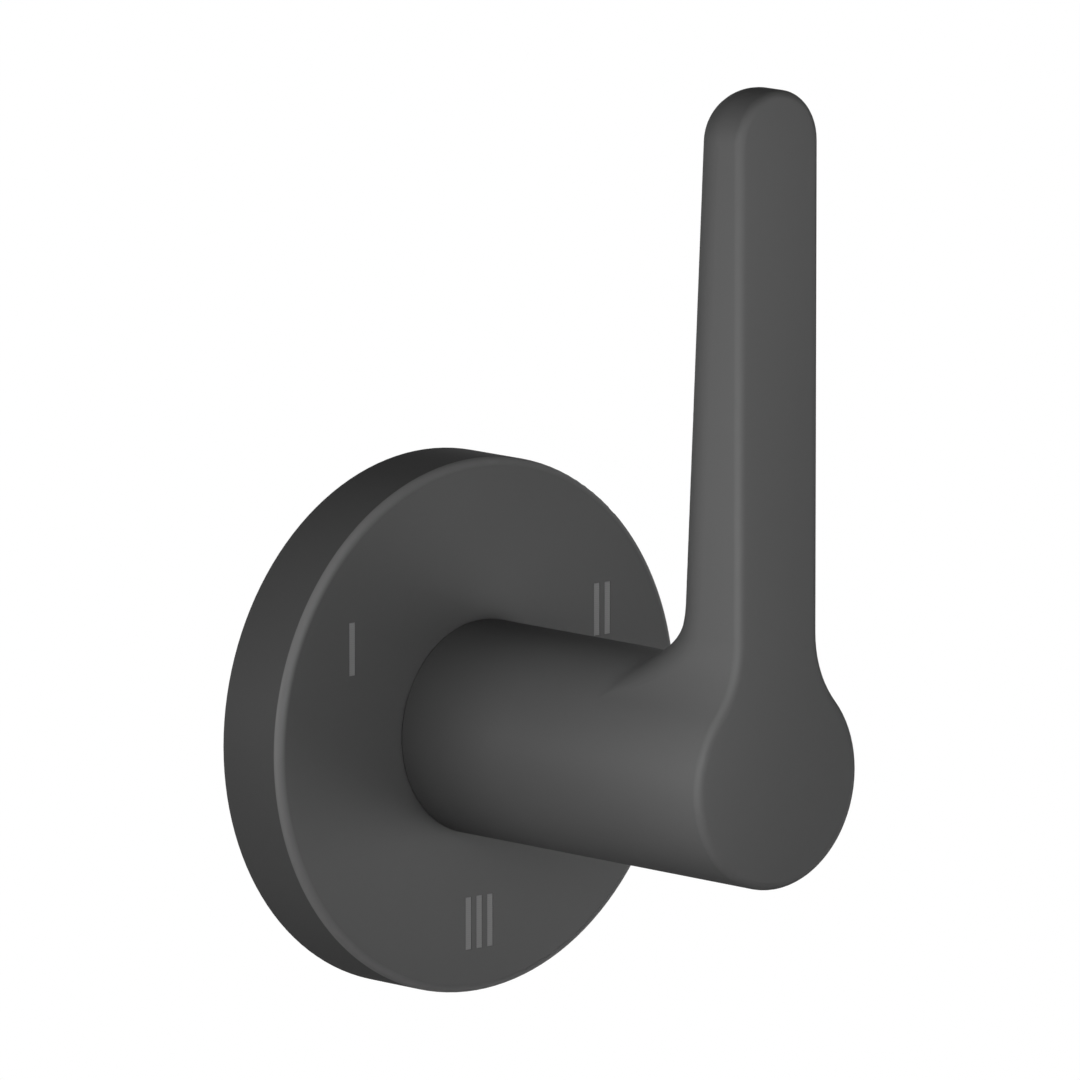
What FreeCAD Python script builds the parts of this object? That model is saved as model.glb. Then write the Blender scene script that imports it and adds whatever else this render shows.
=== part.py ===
"""Shower diverter valve: round escutcheon, tubular hub with a lever, ceramic disc headwork.

The frame: the valve's turning axis is the Y axis, the wall face is the plane y = 0,
the front of the valve looks along -Y, and +Z is up. The lever points up.
Positions along the axis are written as a distance in front of the wall plane;
what lies behind the wall plane has a negative distance.
"""
import FreeCAD
import Part
import math
import os

V = FreeCAD.Vector

# Driving dimensions, in millimetres and degrees.

# Clearances
FIT_GAP = 0.05           # pieces that stay together
RUN_GAP = 0.10           # a turning piece on its bearing
AXIAL_GAP = 0.05         # a turning face on a still face
FREE_GAP = 0.30          # moving pieces that never touch
PAST = 1.0               # a cutter runs this far past the face that it opens
BITE = 0.5               # joined blocks reach this far into each other
TOUCH = 0.01             # points nearer than this are taken as one

# Escutcheon
ROSE_R = 30.0
ROSE_DEPTH = 9.2
ROSE_EDGE_R = 0.95
ROSE_FACE = 2.0          # thickness of the front wall
ROSE_RIM = 3.0           # thickness of the rim wall
COLLAR_WALL = 3.0
COLLAR_DEPTH = 4.4       # length of the collar that holds the sleeve's seal
WALL_SEAL_W = 1.6
WALL_SEAL_DEPTH = 1.4
WALL_SEAL_INSET = 0.7

# The three positions of the lever, evenly spaced from the first stop on
POSITION_STEP = 120.0

# Position marks on the escutcheon, groups of one, two and three bars: angle from the top, radius
MARKS = ((-60.5, 22.0), (59.0, 21.5), (180.5, 22.1))
MARK_W = 0.87
MARK_H = 5.95
MARK_PITCH = 1.62
MARK_DEPTH = 0.25

# Hub and lever
HUB_R = 12.0
HUB_FRONT = 57.2
HUB_GAP = 0.25           # slit between hub and escutcheon
LEVER_W = 12.0
LEVER_TIP_Z = 70.0       # centre of the rounded tip
LEVER_TIP_T = 9.17       # thickness at the tip's centre
LEVER_TAPER = 3.05       # degrees, the back leans away toward the hub
BLEND_R = 12.0           # concave blend from lever to hub, seen from the front
FLARE_R = 7.3            # concave blend from lever to hub, seen from the side
FLARE_END = 38.0         # the flare meets the hub here
BACK_FLAT = 0.2          # left on each half of the lever's back beside its rounding
FLARE_ROUND_R = 2.0      # the back's rounding where it runs out on the hub
FRONT_ROUND_R = 0.9

# Inside of the hub
HUB_CAVITY_R = 10.4
GLIDE_SEAT_R = 11.2
GLIDE_LENGTH = 3.0
SOCKET_FRONT = 46.0      # blind end of the socket for the adapter

# Spline adapter
ADAPTER_R = 7.4
ADAPTER_FLAT = 6.4       # distance of the flat from the axis
ADAPTER_BACK = 24.3
ADAPTER_FRONT = 45.0
SKIRT_R = 10.0
SKIRT_T = 3.7
LUG_ANGLE = 40.0
LUG_INNER_R = 7.6
WEB_T = 2.5
WEB_BACK = 35.0
HEAD_BORE_R = 4.3

# Screws
ADAPTER_SCREW_R = 2.0
ADAPTER_SCREW_L = 10.5
ADAPTER_HEAD_R = 3.8
ADAPTER_HEAD_H = 2.5
ADAPTER_HEAD_ROUND = 0.8
CROSS_L = 4.0
CROSS_W = 0.9
CROSS_DEPTH = 1.5
GRUB_R = 2.5
GRUB_L = 5.0
GRUB_AT = 36.5
GRUB_KEY = 2.5
GRUB_KEY_DEPTH = 2.2
GRUB_CONE = 0.8

# Detent
BALL_R = 0.9
BALL_ORBIT = 8.8
DIMPLE_DEPTH = 0.25
SPRING_WIRE = 0.26
SPRING_TURNS = 6.0
POCKET_FRONT = 27.0

# Spindle
SPINDLE_R = 5.5
SPINDLE_FLANGE_R = 8.2
SPINDLE_FLANGE_T = 2.0
SPINDLE_STEP = 22.0      # end of the plain shaft
SPINDLE_CHAMFER = 0.5
SPLINE_R = 4.0
SPLINE_DEPTH = 0.38
SPLINE_TEETH = 20
SPINDLE_FRONT = 34.0
TAPPED_DEPTH = 9.0
TONGUE_L = 12.0
TONGUE_W = 3.0
TONGUE_H = 1.5
SHAFT_SEAL_AT = (5.0, 9.0)
SHAFT_SEAL_WIRE = 1.34
CLIP_GROOVE_R = 4.7
CLIP_R = 6.6
CLIP_T = 0.96
CLIP_MOUTH = 64.0
CLIP_PLAY = 0.12

# Headwork housing
HEX_AF = 30.0
HEX_T = 4.0
HEX_CHAMFER = 0.6
THREAD_R = 12.0          # thread that screws into the valve body in the wall
THREAD_END = 8.0
NOSE_R = 11.0
CHAMBER_R = 9.7
CHAMBER_FLOOR = 2.0
WINDOW_FROM = 9.0
WINDOW_TO = 12.0
WINDOW_W = 10.0
SLEEVE_THREAD_R = 9.0
SLEEVE_THREAD_END = 12.2
NECK_R = 8.2
RING_SEAT_BACK = 16.5
RING_SEAT_R = 7.2
RING_SEAT_FLAT = 6.6
NECK_FRONT = 20.0
BODY_SEAL_WIRE = 1.7
BODY_SEAL_R = 13.4       # middle radius of the seal in the hexagon's back face

# Sleeve
SLEEVE_R = 10.0
SLEEVE_FRONT = 15.5
SLEEVE_BACK = 4.2
SLOT_W = 3.0
SLOT_DEPTH = 1.6
SLEEVE_SEAL_WIRE = 1.7
SLEEVE_SEAL_AT = 7.0

# Stop ring
STOP_RING_R = 9.9
TOOTH_INNER_R = 7.9
TOOTH_H = 4.0
RANGE_MIN = -60.0
RANGE_MAX = 180.0
STOP_SLACK = 1.0         # degrees left before the lug meets the tooth

# Disc stack, from the spindle to the back
WASHER_R = 8.6
WASHER_T = 0.6
CARRIER_R = 9.0
CARRIER_T = 3.0
PEG_R = 1.0
PEG_ORBIT = 6.5
PEG_L = 2.0
DISC_R = 9.2
DISC_T = 3.5
NOTCH_W = 5.6
NOTCH_FROM = 2.8
PORT_DISC_R = 9.4
PORT_R = 2.2
PORT_ORBIT = 5.6
KEY_W = 2.2
KEY_DEPTH = 1.1
KEY_L = 2.2
GASKET_R = 8.1
GASKET_T = 0.8
BASE_R = 9.6
BASE_T = 2.5
BASE_PROUD = 0.5         # the base stands out this far behind the housing
TAB_W = 4.0
TAB_T = 1.2
TAB_REACH = 10.7
PORT_SEAL_WIRE = 1.3
PORT_SEAL_PROUD = 0.3

# Places that follow from the sizes above
ROSE_CAVITY_R = ROSE_R - ROSE_RIM
HUB_BACK = ROSE_DEPTH + HUB_GAP
BACK_ROUND_R = LEVER_W / 2 - BACK_FLAT
SOCKET_BACK = ADAPTER_BACK + SKIRT_T + FREE_GAP
BORE_R = SPINDLE_R + RUN_GAP
WASHER_BACK = -CHAMBER_FLOOR - WASHER_T
FLANGE_FRONT = WASHER_BACK - AXIAL_GAP
FLANGE_BACK = FLANGE_FRONT - SPINDLE_FLANGE_T
CARRIER_FRONT = FLANGE_BACK - RUN_GAP
CARRIER_BACK = CARRIER_FRONT - CARRIER_T
DISC_BACK = CARRIER_BACK - DISC_T
PORT_DISC_FRONT = DISC_BACK - AXIAL_GAP
PORT_DISC_BACK = PORT_DISC_FRONT - DISC_T
GASKET_BACK = PORT_DISC_BACK - GASKET_T
BASE_BACK = GASKET_BACK - BASE_T
TAB_BACK = GASKET_BACK - TAB_T
NOSE_BACK = BASE_BACK + BASE_PROUD
CLIP_BACK = NECK_FRONT + CLIP_PLAY
POSITIONS = [RANGE_MIN + i * POSITION_STEP for i in range(3)]
KEY_ANGLES = [a + POSITION_STEP / 2 for a in POSITIONS]


# Small helpers: lengths along the axis are distances in front of the wall

def at(radius, front):
    """Point of a turned outline, in the half plane above the axis."""
    return V(0, -front, radius)


def polar(radius, angle, front=0.0):
    """Point at an angle from the top, turning clockwise when seen from the front."""
    a = math.radians(angle)
    return V(radius * math.sin(a), -front, radius * math.cos(a))


def turned(points):
    """Solid of revolution about the valve axis from (radius, front) points."""
    loop = [at(r, f) for r, f in points]
    face = Part.Face(Part.makePolygon(loop + [loop[0]]))
    return face.revolve(V(0, 0, 0), V(0, 1, 0), 360)


def tube(outer, inner, back, front):
    """Ring between two radii and two distances from the wall."""
    return turned([(inner, back), (outer, back), (outer, front), (inner, front)])


def rod(radius, back, front, centre=V(0, 0, 0)):
    """Cylinder along the axis direction."""
    start = V(centre.x, -back, centre.z)
    return Part.makeCylinder(radius, front - back, start, V(0, -1, 0))


def block(x_size, z_size, back, front, x_at=0.0, z_at=0.0):
    """Box centred at (x_at, z_at) and running along the axis direction."""
    corner = V(x_at - x_size / 2, -front, z_at - z_size / 2)
    return Part.makeBox(x_size, front - back, z_size, corner)


def spun(shape, angle):
    """Copy turned about the valve axis, clockwise when seen from the front."""
    copy = shape.copy()
    copy.rotate(V(0, 0, 0), V(0, 1, 0), angle)
    return copy


def flatted_rod(radius, flat, back, front):
    """Rod with two flats, left and right, at a distance from the axis."""
    return rod(radius, back, front).common(block(2 * flat, 3 * radius, back, front))


def radial_block(width, inner, outer, back, front, angle):
    """Box that points outward from the axis at an angle from the top."""
    middle = (inner + outer) / 2
    return spun(block(width, outer - inner, back, front, 0.0, middle), angle)


def sector(outer, inner, back, front, start, end):
    """Part of a ring between two angles from the top."""
    ring = [(inner, back), (outer, back), (outer, front), (inner, front)]
    loop = [at(r, f) for r, f in ring]
    face = Part.Face(Part.makePolygon(loop + [loop[0]]))
    return spun(face.revolve(V(0, 0, 0), V(0, 1, 0), end - start), start)


def prism(points, back, front):
    """Straight solid along the axis from (x, z) points."""
    loop = [V(x, -back, z) for x, z in points]
    face = Part.Face(Part.makePolygon(loop + [loop[0]]))
    return face.extrude(V(0, back - front, 0))


def hexagon(across_flats):
    """Corner points of a hexagon with a flat at the top."""
    r = across_flats / math.sqrt(3)
    return [(r * math.cos(math.radians(60 * i)), r * math.sin(math.radians(60 * i))) for i in range(6)]


def spline_outline(tip_r):
    """Corner points of a fine-toothed shaft end."""
    points = []
    for i in range(2 * SPLINE_TEETH):
        r = tip_r if i % 2 == 0 else tip_r - SPLINE_DEPTH
        a = math.pi * i / SPLINE_TEETH
        points.append((r * math.sin(a), r * math.cos(a)))
    return points


def o_ring(middle_r, wire, front):
    """Round-section ring about the valve axis."""
    return Part.makeTorus(middle_r, wire / 2, V(0, -front, 0), V(0, 1, 0))


def merged(shapes):
    """One solid from pieces that meet."""
    return shapes[0].fuse(shapes[1:]).removeSplitter()


def solid(shape):
    """The single solid inside a boolean result."""
    return shape.Solids[0] if len(shape.Solids) == 1 else shape


# Trim that stays still

def escutcheon():
    outer = rod(ROSE_R, 0, ROSE_DEPTH)
    front_edge = [e for e in outer.Edges if e.BoundBox.YMax < -ROSE_DEPTH + TOUCH]
    outer = outer.makeFillet(ROSE_EDGE_R, front_edge)
    collar_r = SLEEVE_R + RUN_GAP
    hollow = rod(ROSE_CAVITY_R, -PAST, ROSE_DEPTH - ROSE_FACE)
    collar = rod(collar_r + COLLAR_WALL, ROSE_DEPTH - COLLAR_DEPTH, ROSE_DEPTH)
    shell = outer.cut(hollow.cut(collar))
    seal_outer = ROSE_R - WALL_SEAL_INSET
    seat = tube(seal_outer, seal_outer - WALL_SEAL_W, -PAST, WALL_SEAL_DEPTH)
    groove_r = collar_r + SLEEVE_SEAL_WIRE
    half = SLEEVE_SEAL_WIRE / 2 + FIT_GAP
    groove = rod(groove_r, SLEEVE_SEAL_AT - half, SLEEVE_SEAL_AT + half)
    cuts = [rod(collar_r, -PAST, ROSE_DEPTH + PAST), seat, groove]
    return solid(shell.cut(cuts + mark_cutters()))


def mark_cutters():
    cutters = []
    for count, (angle, radius) in enumerate(MARKS, 1):
        centre = polar(radius, angle)
        for i in range(count):
            x = centre.x + (i - (count - 1) / 2) * MARK_PITCH
            bar = block(MARK_W, MARK_H, ROSE_DEPTH - MARK_DEPTH, ROSE_DEPTH + PAST, x, centre.z)
            cutters.append(bar)
    return cutters


def escutcheon_seal():
    outer = ROSE_R - WALL_SEAL_INSET - FIT_GAP
    return tube(outer, outer - WALL_SEAL_W + 2 * FIT_GAP, 0, WALL_SEAL_DEPTH)


def escutcheon_o_ring():
    return o_ring(SLEEVE_R + RUN_GAP + SLEEVE_SEAL_WIRE / 2, SLEEVE_SEAL_WIRE, SLEEVE_SEAL_AT)


def escutcheon_sleeve():
    body = tube(SLEEVE_R, SLEEVE_THREAD_R + FIT_GAP, SLEEVE_BACK, SLEEVE_FRONT)
    slot = block(3 * SLEEVE_R, SLOT_W, SLEEVE_FRONT - SLOT_DEPTH, SLEEVE_FRONT + PAST)
    return solid(body.cut(slot))


# Headwork that screws into the body in the wall

def hexagonal_flange():
    corners = HEX_AF / math.sqrt(3)
    trim = turned([(0, 0), (corners - HEX_CHAMFER, 0), (corners, HEX_CHAMFER),
                   (corners, HEX_T - HEX_CHAMFER), (corners - HEX_CHAMFER, HEX_T), (0, HEX_T)])
    return prism(hexagon(HEX_AF), 0, HEX_T).common(trim)


def headwork_housing():
    neck = turned([(0, 0), (SLEEVE_THREAD_R, 0), (SLEEVE_THREAD_R, SLEEVE_THREAD_END),
                   (NECK_R, SLEEVE_THREAD_END), (NECK_R, RING_SEAT_BACK), (0, RING_SEAT_BACK)])
    ring_seat = flatted_rod(RING_SEAT_R, RING_SEAT_FLAT, RING_SEAT_BACK - BITE, NECK_FRONT)
    nose = turned([(0, BITE), (THREAD_R, BITE), (THREAD_R, -THREAD_END), (NOSE_R, -THREAD_END),
                   (NOSE_R, NOSE_BACK), (0, NOSE_BACK)])
    body = merged([hexagonal_flange(), neck, ring_seat, nose])
    seal_half = BODY_SEAL_WIRE / 2 + FIT_GAP
    cuts = [rod(CHAMBER_R, NOSE_BACK - PAST, -CHAMBER_FLOOR),
            rod(BORE_R, -CHAMBER_FLOOR - PAST, NECK_FRONT + PAST),
            tube(BODY_SEAL_R + seal_half, BODY_SEAL_R - seal_half, -PAST, BODY_SEAL_WIRE + FIT_GAP),
            block(4 * NOSE_R, WINDOW_W, -WINDOW_TO, -WINDOW_FROM),
            block(4 * NOSE_R, TAB_W + RUN_GAP, TAB_BACK - FIT_GAP, GASKET_BACK + FIT_GAP)]
    return solid(body.cut(cuts))


def headwork_o_ring():
    return o_ring(BODY_SEAL_R, BODY_SEAL_WIRE, BODY_SEAL_WIRE / 2)


def stop_ring():
    middle = (RANGE_MIN + RANGE_MAX) / 2 + 180
    half = (360 - (RANGE_MAX - RANGE_MIN) - LUG_ANGLE) / 2 - STOP_SLACK
    ring = rod(STOP_RING_R, RING_SEAT_BACK, NECK_FRONT)
    tooth_front = NECK_FRONT + TOOTH_H
    tooth = sector(STOP_RING_R, TOOTH_INNER_R, NECK_FRONT - BITE, tooth_front, middle - half, middle + half)
    seat_r = RING_SEAT_R + FIT_GAP
    seat_flat = RING_SEAT_FLAT + FIT_GAP
    cuts = [flatted_rod(seat_r, seat_flat, RING_SEAT_BACK - PAST, NECK_FRONT + PAST)]
    for angle in POSITIONS:
        cuts.append(Part.makeSphere(BALL_R, polar(BALL_ORBIT, angle, NECK_FRONT + BALL_R - DIMPLE_DEPTH)))
    return solid(merged([ring, tooth]).cut(cuts))


def friction_washer():
    return tube(WASHER_R, BORE_R + FREE_GAP, WASHER_BACK, -CHAMBER_FLOOR)


def port_holes(back, front, radius=PORT_R):
    """Cutters for the three ports, one at each position of the lever."""
    return [rod(radius, back - PAST, front + PAST, polar(PORT_ORBIT, a)) for a in POSITIONS]


def port_disc():
    body = rod(PORT_DISC_R, PORT_DISC_BACK, PORT_DISC_FRONT)
    cuts = port_holes(PORT_DISC_BACK, PORT_DISC_FRONT)
    key_back = PORT_DISC_BACK - PAST
    key_front = PORT_DISC_BACK + KEY_L + RUN_GAP
    for a in KEY_ANGLES:
        cuts.append(radial_block(KEY_W, PORT_DISC_R - KEY_DEPTH, PORT_DISC_R + PAST, key_back, key_front, a))
    return solid(body.cut(cuts))


def disc_seal():
    return solid(rod(GASKET_R, GASKET_BACK, PORT_DISC_BACK).cut(port_holes(GASKET_BACK, PORT_DISC_BACK)))


def cartridge_base():
    pieces = [rod(BASE_R, BASE_BACK, GASKET_BACK)]
    lug_inner = PORT_DISC_R - KEY_DEPTH + FIT_GAP
    lug_limit = rod(PORT_DISC_R, BASE_BACK, PORT_DISC_FRONT)
    for a in KEY_ANGLES:
        width = KEY_W - 2 * FIT_GAP
        lug = radial_block(width, lug_inner, BASE_R, BASE_BACK + BITE, PORT_DISC_BACK + KEY_L, a)
        pieces.append(lug.common(lug_limit))
    pieces.append(block(2 * TAB_REACH, TAB_W, TAB_BACK, GASKET_BACK))
    seat_front = BASE_BACK + PORT_SEAL_WIRE - PORT_SEAL_PROUD
    seats = port_holes(BASE_BACK, seat_front - PAST, PORT_R + PORT_SEAL_WIRE)
    return solid(merged(pieces).cut(port_holes(BASE_BACK, GASKET_BACK) + seats))


def port_seals():
    front = BASE_BACK + PORT_SEAL_WIRE / 2 - PORT_SEAL_PROUD
    middle_r = PORT_R + PORT_SEAL_WIRE / 2
    wire_r = (PORT_SEAL_WIRE - FIT_GAP) / 2
    rings = [Part.makeTorus(middle_r, wire_r, polar(PORT_ORBIT, a, front), V(0, 1, 0)) for a in POSITIONS]
    return Part.makeCompound(rings)


# Pieces that turn with the lever

def lever_outline():
    """Front outline of lever and blends, closed inside the hub, in the front plane."""
    half = LEVER_W / 2
    blend_x = half + BLEND_R
    blend_z = math.sqrt((HUB_R + BLEND_R) ** 2 - blend_x ** 2)
    share = HUB_R / (HUB_R + BLEND_R)
    turn = math.pi + math.atan2(blend_z, blend_x) / 2
    y = -HUB_FRONT
    tip = V(0, y, LEVER_TIP_Z + half)
    side = V(half, y, LEVER_TIP_Z)
    start = V(half, y, blend_z)
    middle = V(blend_x + BLEND_R * math.cos(turn), y, blend_z + BLEND_R * math.sin(turn))
    end = V(blend_x * share, y, blend_z * share)
    centre = V(0, y, 0)

    def flip(p):
        return V(-p.x, p.y, p.z)

    edges = [Part.Arc(side, tip, flip(side)).toShape(),
             Part.makeLine(flip(side), flip(start)),
             Part.Arc(flip(start), flip(middle), flip(end)).toShape(),
             Part.makeLine(flip(end), centre),
             Part.makeLine(centre, end),
             Part.Arc(end, middle, start).toShape(),
             Part.makeLine(start, side)]
    return Part.Face(Part.Wire(edges))


def lever_limit():
    """Turned body that sets the lever's back: a slight cone, then the concave flare."""
    lean = math.radians(LEVER_TAPER)
    flare_r = HUB_R + FLARE_R
    start_f = FLARE_END + FLARE_R * math.cos(lean)
    start_r = flare_r - FLARE_R * math.sin(lean)
    half_turn = math.radians(45)
    mid_f = FLARE_END + FLARE_R * math.cos(half_turn)
    mid_r = flare_r - FLARE_R * math.sin(half_turn)
    far_r = LEVER_TIP_Z + LEVER_W
    far_f = start_f + (far_r - start_r) * math.tan(lean)
    front = HUB_FRONT + PAST
    edges = [Part.makeLine(at(0, front), at(far_r, front)),
             Part.makeLine(at(far_r, front), at(far_r, far_f)),
             Part.makeLine(at(far_r, far_f), at(start_r, start_f)),
             Part.Arc(at(start_r, start_f), at(mid_r, mid_f), at(HUB_R, FLARE_END)).toShape(),
             Part.makeLine(at(HUB_R, FLARE_END), at(0, FLARE_END)),
             Part.makeLine(at(0, FLARE_END), at(0, front))]
    return Part.Face(Part.Wire(edges)).revolve(V(0, 0, 0), V(0, 1, 0), 360)


def is_back_edge(edge):
    """True for an edge between a side of the lever and its back."""
    box = edge.BoundBox
    meets_front = box.YMin < -HUB_FRONT + TOUCH
    in_middle = max(abs(box.XMin), abs(box.XMax)) < TOUCH
    seam = box.YMax - box.YMin < TOUCH
    return not (meets_front or in_middle or seam)


def rounded_back(bar):
    """Rounds the lever's back; the radius shrinks where the flare runs out on the hub."""
    document = FreeCAD.newDocument("lever")
    base = document.addObject("Part::Feature", "Bar")
    base.Shape = bar
    rows = []
    for number, edge in enumerate(bar.Edges, 1):
        if not is_back_edge(edge):
            continue
        first, last = edge.Vertexes[0].Point, edge.Vertexes[-1].Point
        radii = [BACK_ROUND_R, BACK_ROUND_R]
        for i, point in enumerate((first, last)):
            if abs(point.y + FLARE_END) < TOUCH:
                radii[i] = FLARE_ROUND_R
        # The fillet counts along the edge's own curve, which a reversed edge follows backwards
        if edge.Orientation == "Reversed":
            radii.reverse()
        rows.append((number, radii[0], radii[1]))
    fillet = document.addObject("Part::Fillet", "Round")
    fillet.Base = base
    fillet.Edges = rows
    document.recompute()
    shape = fillet.Shape.copy()
    FreeCAD.closeDocument(document.Name)
    return shape


def front_slab(split):
    """Front of hub and lever, with its edge rounded, from the split plane on."""
    hub_face = Part.Face(Part.Wire(Part.makeCircle(HUB_R, V(0, -HUB_FRONT, 0), V(0, -1, 0))))
    outline = lever_outline().fuse(hub_face).removeSplitter().Faces[0]
    slab = outline.extrude(V(0, HUB_FRONT - split, 0))
    rim = [e for e in slab.Edges if e.BoundBox.YMax < -HUB_FRONT + TOUCH]
    return slab.makeFillet(FRONT_ROUND_R, rim)


def keyed_rod(gap, back, front):
    """Shape of the adapter's front part, with a flat below, larger by a gap."""
    flat = ADAPTER_FLAT + gap
    below = block(4 * ADAPTER_R, 2 * ADAPTER_R, back, front, 0, -flat - ADAPTER_R)
    return rod(ADAPTER_R + gap, back, front).cut(below)


def lever_handle():
    bar = lever_outline().extrude(V(0, HUB_FRONT - FLARE_END + PAST, 0)).common(lever_limit())
    split = HUB_FRONT - 2 * FRONT_ROUND_R
    rear = merged([rounded_back(bar), rod(HUB_R, HUB_BACK, HUB_FRONT)])
    rear = rear.cut(block(3 * HUB_R, 4 * LEVER_TIP_Z, split, HUB_FRONT + PAST))
    body = merged([rear, front_slab(split)])
    cuts = [rod(HUB_CAVITY_R, HUB_BACK - PAST, SOCKET_BACK),
            rod(GLIDE_SEAT_R, HUB_BACK - PAST, HUB_BACK + GLIDE_LENGTH),
            keyed_rod(RUN_GAP, SOCKET_BACK - PAST, SOCKET_FRONT),
            Part.makeCylinder(GRUB_R + FIT_GAP, 2 * HUB_R, V(0, -GRUB_AT, 0), V(0, 0, -1))]
    return solid(body.cut(cuts))


def handle_grub_screw():
    top = -(ADAPTER_FLAT + FIT_GAP)
    outline = [(0, top), (GRUB_R - GRUB_CONE, top), (GRUB_R, top - GRUB_CONE),
               (GRUB_R, top - GRUB_L), (0, top - GRUB_L)]
    loop = [V(x, 0, z) for x, z in outline]
    body = Part.Face(Part.makePolygon(loop + [loop[0]])).revolve(V(0, 0, 0), V(0, 0, 1), 360)
    key = [V(x, z, top - GRUB_L) for x, z in hexagon(GRUB_KEY)]
    key_hole = Part.Face(Part.makePolygon(key + [key[0]])).extrude(V(0, 0, GRUB_KEY_DEPTH))
    body = body.cut(key_hole)
    body.translate(V(0, -GRUB_AT, 0))
    return solid(body)


def handle_glide_ring():
    return tube(GLIDE_SEAT_R - FIT_GAP, SLEEVE_R + RUN_GAP, HUB_BACK, HUB_BACK + GLIDE_LENGTH - FIT_GAP)


def spline_adapter():
    lug_back = NECK_FRONT + FREE_GAP
    pieces = [keyed_rod(0, ADAPTER_BACK, ADAPTER_FRONT),
              rod(SKIRT_R, ADAPTER_BACK, ADAPTER_BACK + SKIRT_T),
              sector(SKIRT_R, LUG_INNER_R, lug_back, ADAPTER_BACK + BITE, -LUG_ANGLE / 2, LUG_ANGLE / 2)]
    cuts = [prism(spline_outline(SPLINE_R + FIT_GAP), ADAPTER_BACK - PAST, WEB_BACK),
            rod(ADAPTER_SCREW_R + RUN_GAP, WEB_BACK - PAST, ADAPTER_FRONT),
            rod(HEAD_BORE_R, WEB_BACK + WEB_T, ADAPTER_FRONT + PAST),
            rod(BALL_R + FIT_GAP, lug_back - PAST, POCKET_FRONT, polar(BALL_ORBIT, 0))]
    return solid(merged(pieces).cut(cuts))


def adapter_screw():
    under_head = WEB_BACK + WEB_T
    top = under_head + ADAPTER_HEAD_H
    shank = rod(ADAPTER_SCREW_R, under_head - ADAPTER_SCREW_L, under_head + BITE)
    head = rod(ADAPTER_HEAD_R, under_head, top)
    rim = [e for e in head.Edges if e.BoundBox.YMax < -top + TOUCH]
    head = head.makeFillet(ADAPTER_HEAD_ROUND, rim)
    cross = [block(CROSS_L, CROSS_W, top - CROSS_DEPTH, top + PAST),
             block(CROSS_W, CROSS_L, top - CROSS_DEPTH, top + PAST)]
    return solid(merged([head, shank]).cut(cross))


def detent_ball():
    return Part.makeSphere(BALL_R, polar(BALL_ORBIT, 0, NECK_FRONT + BALL_R + AXIAL_GAP))


def detent_spring():
    back = NECK_FRONT + AXIAL_GAP + 2 * BALL_R + SPRING_WIRE / 2 + FIT_GAP
    length = POCKET_FRONT - FIT_GAP - SPRING_WIRE / 2 - back
    coil_r = BALL_R - SPRING_WIRE / 2 - FIT_GAP / 2
    path = Part.makeHelix(length / SPRING_TURNS, length, coil_r)
    section = Part.Wire(Part.makeCircle(SPRING_WIRE / 2, V(coil_r, 0, 0), V(0, 1, 0)))
    coil = Part.Wire(path.Edges).makePipeShell([section], True, True)
    coil.rotate(V(0, 0, 0), V(1, 0, 0), 90)
    coil.translate(polar(BALL_ORBIT, 0, back))
    return solid(coil)


def spindle():
    shaft = turned([(0, FLANGE_BACK), (SPINDLE_FLANGE_R, FLANGE_BACK), (SPINDLE_FLANGE_R, FLANGE_FRONT),
                    (SPINDLE_R, FLANGE_FRONT), (SPINDLE_R, SPINDLE_STEP - SPINDLE_CHAMFER),
                    (SPINDLE_R - SPINDLE_CHAMFER, SPINDLE_STEP), (0, SPINDLE_STEP)])
    end = prism(spline_outline(SPLINE_R), SPINDLE_STEP - BITE, SPINDLE_FRONT)
    tongue = block(TONGUE_L, TONGUE_W, FLANGE_BACK - TONGUE_H, FLANGE_BACK + BITE)
    outside = SPINDLE_R + PAST
    cuts = [tube(outside, CLIP_GROOVE_R, CLIP_BACK - FIT_GAP, CLIP_BACK + CLIP_T + FIT_GAP),
            rod(ADAPTER_SCREW_R + FIT_GAP, SPINDLE_FRONT - TAPPED_DEPTH, SPINDLE_FRONT + PAST)]
    groove_half = SHAFT_SEAL_WIRE / 2 + 2 * FIT_GAP
    groove_r = BORE_R - SHAFT_SEAL_WIRE - 2 * FIT_GAP
    for front in SHAFT_SEAL_AT:
        cuts.append(tube(outside, groove_r, front - groove_half, front + groove_half))
    return solid(merged([shaft, end, tongue]).cut(cuts))


def spindle_o_rings():
    middle_r = BORE_R - FIT_GAP - SHAFT_SEAL_WIRE / 2
    return Part.makeCompound([o_ring(middle_r, SHAFT_SEAL_WIRE, f) for f in SHAFT_SEAL_AT])


def spindle_circlip():
    half = CLIP_MOUTH / 2
    return sector(CLIP_R, CLIP_GROOVE_R + FIT_GAP, CLIP_BACK, CLIP_BACK + CLIP_T, 180 + half, 540 - half)


def peg_rods(gap, back, front):
    """The two pegs that drive the diverting disc, or their holes with a gap."""
    return [rod(PEG_R + gap, back, front, polar(PEG_ORBIT, a)) for a in (90, 270)]


def disc_carrier():
    slot_back = FLANGE_BACK - TONGUE_H - RUN_GAP
    slot = block(TONGUE_L + 2 * RUN_GAP, TONGUE_W + 2 * RUN_GAP, slot_back, CARRIER_FRONT + PAST)
    pegs = peg_rods(0, CARRIER_BACK - PEG_L, CARRIER_BACK + BITE)
    return solid(merged([rod(CARRIER_R, CARRIER_BACK, CARRIER_FRONT)] + pegs).cut(slot))


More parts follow.
